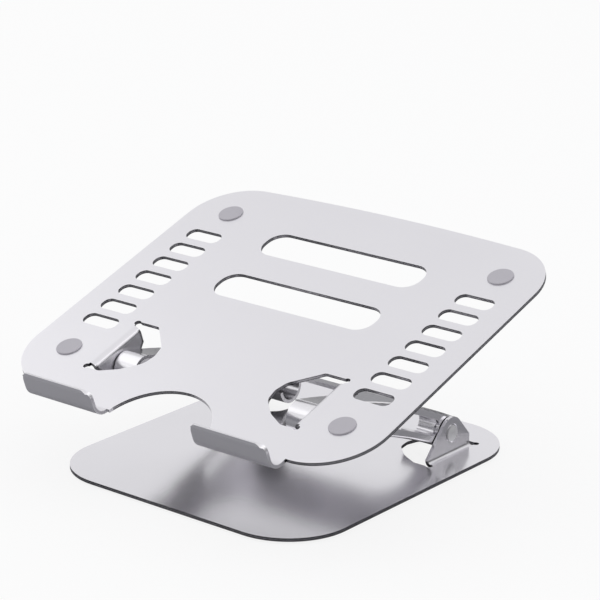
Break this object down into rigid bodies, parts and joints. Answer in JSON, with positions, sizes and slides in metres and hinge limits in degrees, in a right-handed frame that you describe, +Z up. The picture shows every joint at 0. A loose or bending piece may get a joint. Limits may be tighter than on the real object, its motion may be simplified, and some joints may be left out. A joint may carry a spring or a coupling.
{
  "type": "folding laptop stand",
  "caption": "Z-shaped folding laptop stand bent from sheet metal: flat base, bowed arm and a slotted top plate with two front lips, held by friction pivots.",
  "frame": {"origin": "bottom centre of the box at rest, on the surface the feet stand on", "axes": "+X to the stand's right as seen by the person typing, +Y to the back, +Z up"},
  "size_m": [0.25, 0.2248, 0.1198],
  "materials": {
    "sheet": "fine satin, edges cut bright",
    "pad": "matte grey silicone",
    "foot": "matte dark grey silicone",
    "rivet": "polished dome",
    "washer": "smooth, slightly oily",
    "spring": "hardened, oiled",
    "nut": "zinc plated"
  },
  "bodies": {
    "base": {"base_plate": "sheet", "foot_front_left": "foot", "foot_rear_left": "foot", "foot_front_right": "foot", "foot_rear_right": "foot", "base_pivot_rivets": "rivet", "base_lock_nuts": "nut", "base_friction_washer_left": "washer", "base_friction_washer_right": "washer", "base_disc_springs_left": "spring", "base_disc_springs_right": "spring"},
    "arm": {"arm": "sheet"},
    "top": {"top_plate": "sheet", "pad_front_left": "pad", "pad_rear_left": "pad", "pad_front_right": "pad", "pad_rear_right": "pad", "top_pivot_rivets": "rivet", "top_lock_nuts": "nut", "top_friction_washer_left": "washer", "top_friction_washer_right": "washer", "top_disc_springs_left": "spring", "top_disc_springs_right": "spring"}
  },
  "joints": [
    {"name": "arm_fold", "type": "hinge", "parent": "base", "child": "arm", "pos_m": [0, 0.06767, 0.0152], "axis": [1, 0, 0], "range_deg": [-24, 18]},
    {"name": "top_fold", "type": "hinge", "parent": "arm", "child": "top", "pos_m": [0, -0.04643, 0.05426], "axis": [1, 0, 0], "range_deg": [-34, 45.4]}
  ],
  "couplings": [
    {"joint": "top_fold", "follows": "arm_fold", "ratio": -1.8833}
  ]
}
